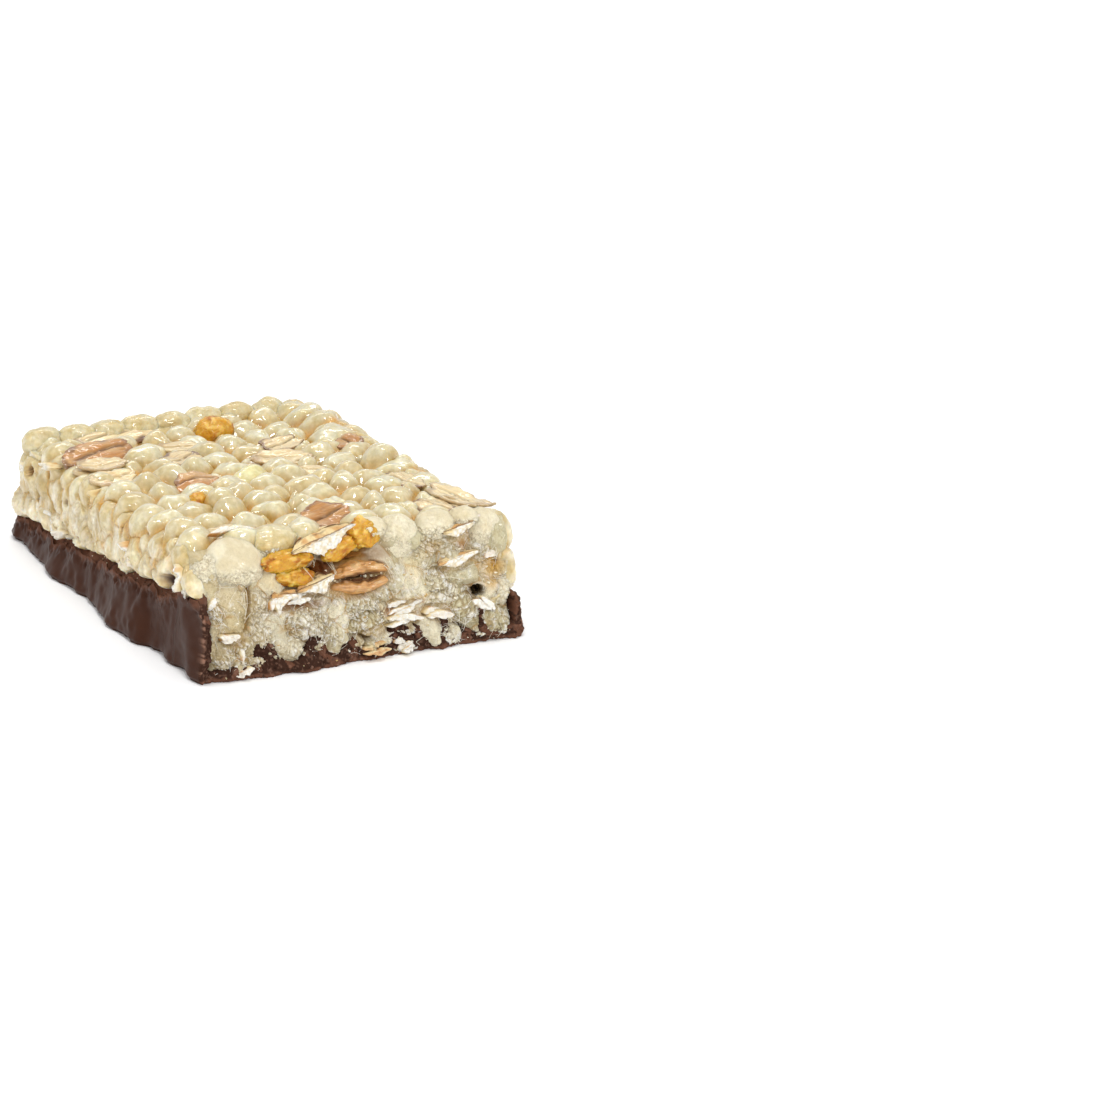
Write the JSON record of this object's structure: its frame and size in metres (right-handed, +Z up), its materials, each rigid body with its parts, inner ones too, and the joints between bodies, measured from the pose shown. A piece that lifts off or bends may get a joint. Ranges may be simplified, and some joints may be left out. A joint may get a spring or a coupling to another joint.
{
  "type": "cereal bar half",
  "caption": "Half of a pressed puffed-rice and oat cereal bar with dried fruit, broken across, its underside and lower sides in milk chocolate.",
  "frame": {"origin": "middle of the bar's bounding box, on the flat underside", "axes": "+Z up from the surface it lies on, +X along the bar toward the broken end, +Y across it"},
  "size_m": [0.0618, 0.0364, 0.0133],
  "materials": {
    "cereal": "cream puffed grains under a clear syrup gloss, dry and spongy where torn",
    "chocolate": "semi-gloss milk chocolate, matte and paler on the broken edge"
  },
  "bodies": {
    "root": {"cereal_block": "cereal", "chocolate_base": "chocolate"}
  },
  "joints": []
}
